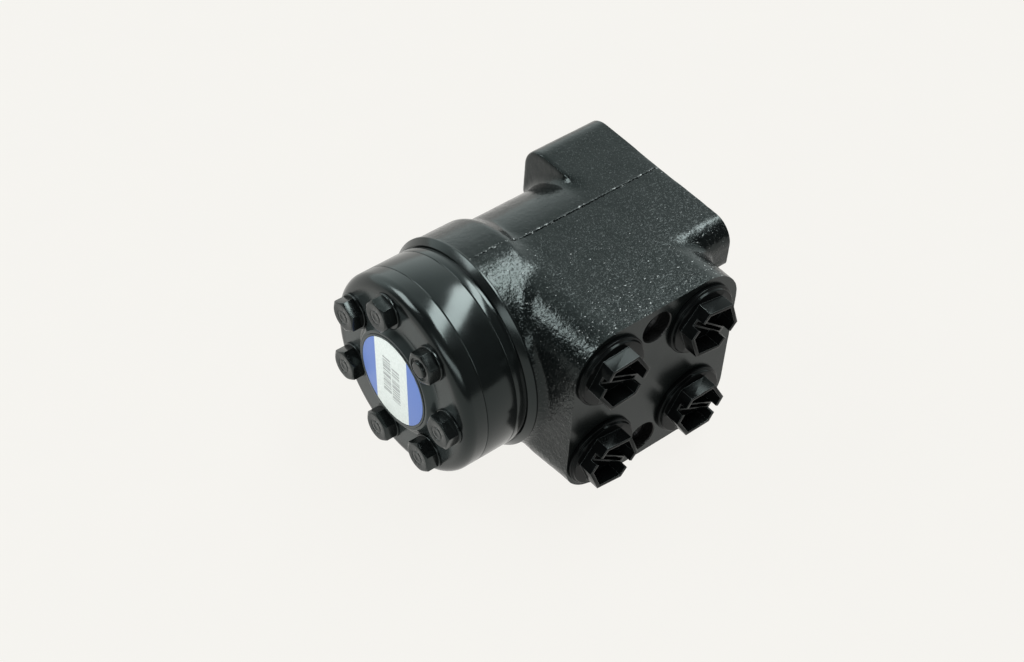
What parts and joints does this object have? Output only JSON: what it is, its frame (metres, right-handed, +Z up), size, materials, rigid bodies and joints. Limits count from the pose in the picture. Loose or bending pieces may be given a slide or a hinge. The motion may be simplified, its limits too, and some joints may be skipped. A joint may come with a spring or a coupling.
{
  "type": "orbital steering unit",
  "caption": "Hydraulic orbital steering unit: cast body with square mounting flange, plugged side port block, bolted gear set, end cover and splined column socket.",
  "frame": {"origin": "on the rotor axis, in the plane of the column mounting face", "axes": "+X along the rotor axis towards the steering column, -Y out of the port face, +Z up"},
  "size_m": [0.1432, 0.1207, 0.0956],
  "materials": {
    "cast_paint": "glossy black paint over rough cast iron",
    "turned_paint_cover": "satin black paint over turned iron",
    "turned_paint_ring": "satin black paint over ground steel",
    "screw_paint": "black paint over steel screws",
    "washer_paint": "black paint over soft washers",
    "name_disc": "printed paper-like disc, pale with blue bands, no lettering",
    "plug_plastic": "semi-gloss black moulded plastic",
    "o_ring_rubber": "black nitrile rubber",
    "dust_seal_rubber": "black rubber dust seal",
    "seal_ptfe": "brown bronze-filled seal ring",
    "bearing_steel": "polished bearing steel",
    "ground_steel": "ground and hardened steel",
    "spring_steel": "blued spring steel",
    "turned_steel": "turned steel"
  },
  "bodies": {
    "housing_body": {"housing": "cast_paint", "dust_seal": "dust_seal_rubber", "shaft_seal": "seal_ptfe", "shaft_seal_o_ring": "o_ring_rubber", "bearing_outer_race": "bearing_steel", "housing_o_ring": "o_ring_rubber", "distributor_plate": "turned_paint_ring", "gear_ring_front_o_ring": "o_ring_rubber", "gear_ring": "turned_paint_ring", "gear_ring_rear_o_ring": "o_ring_rubber", "end_cover": "turned_paint_cover", "name_disc": "name_disc", "cover_screws": "screw_paint", "cover_screw_washers": "washer_paint", "special_screw": "screw_paint", "rolled_pin": "spring_steel", "thread_bushing": "turned_steel", "port_plug_a": "plug_plastic", "port_plug_b": "plug_plastic", "port_plug_c": "plug_plastic", "port_plug_d": "plug_plastic", "plug_o_rings": "o_ring_rubber"},
    "sleeve_body": {"control_sleeve": "ground_steel", "cross_pin": "ground_steel", "spring_ring": "spring_steel", "leaf_springs_flat": "spring_steel", "leaf_springs_curved": "spring_steel", "bearing_inner_race": "bearing_steel"},
    "spool_body": {"control_spool": "ground_steel"},
    "cage_body": {"thrust_cage": "bearing_steel", "needle_rollers": "bearing_steel"},
    "orbit_body": {"cardan_spacer": "turned_steel"},
    "rotor_body": {"gear_rotor": "ground_steel"},
    "cardan_body": {"cardan_shaft": "ground_steel"},
    "ball_body": {"check_ball": "bearing_steel"}
  },
  "joints": [
    {"name": "sleeve_spin", "type": "hinge", "parent": "housing_body", "child": "sleeve_body", "pos_m": [-0.064, 0, 0], "axis": [1, 0, 0], "continuous": true},
    {"name": "spool_deflect", "type": "hinge", "parent": "sleeve_body", "child": "spool_body", "pos_m": [-0.054, 0, 0], "axis": [1, 0, 0], "range_deg": [-8, 8], "stiffness_Nm_per_rad": 4},
    {"name": "cage_spin", "type": "hinge", "parent": "housing_body", "child": "cage_body", "pos_m": [-0.0183, 0, 0], "axis": [1, 0, 0], "continuous": true},
    {"name": "rotor_orbit", "type": "hinge", "parent": "housing_body", "child": "orbit_body", "pos_m": [-0.1183, 0, 0], "axis": [1, 0, 0], "continuous": true},
    {"name": "rotor_spin", "type": "hinge", "parent": "orbit_body", "child": "rotor_body", "pos_m": [-0.1183, 0.00068, 0.00282], "axis": [1, 0, 0], "continuous": true},
    {"name": "cardan_spin", "type": "hinge", "parent": "orbit_body", "child": "cardan_body", "pos_m": [-0.052, 0, 0], "axis": [0.999, -0.0103, -0.0425], "continuous": true},
    {"name": "ball_lift", "type": "slide", "parent": "housing_body", "child": "ball_body", "axis": [-1, 0, 0], "range_m": [0, 0.002]}
  ],
  "couplings": [
    {"joint": "cage_spin", "follows": "sleeve_spin", "ratio": 0.5},
    {"joint": "rotor_orbit", "follows": "sleeve_spin", "ratio": -6},
    {"joint": "rotor_spin", "follows": "sleeve_spin", "ratio": 7},
    {"joint": "cardan_spin", "follows": "sleeve_spin", "ratio": 7}
  ]
}
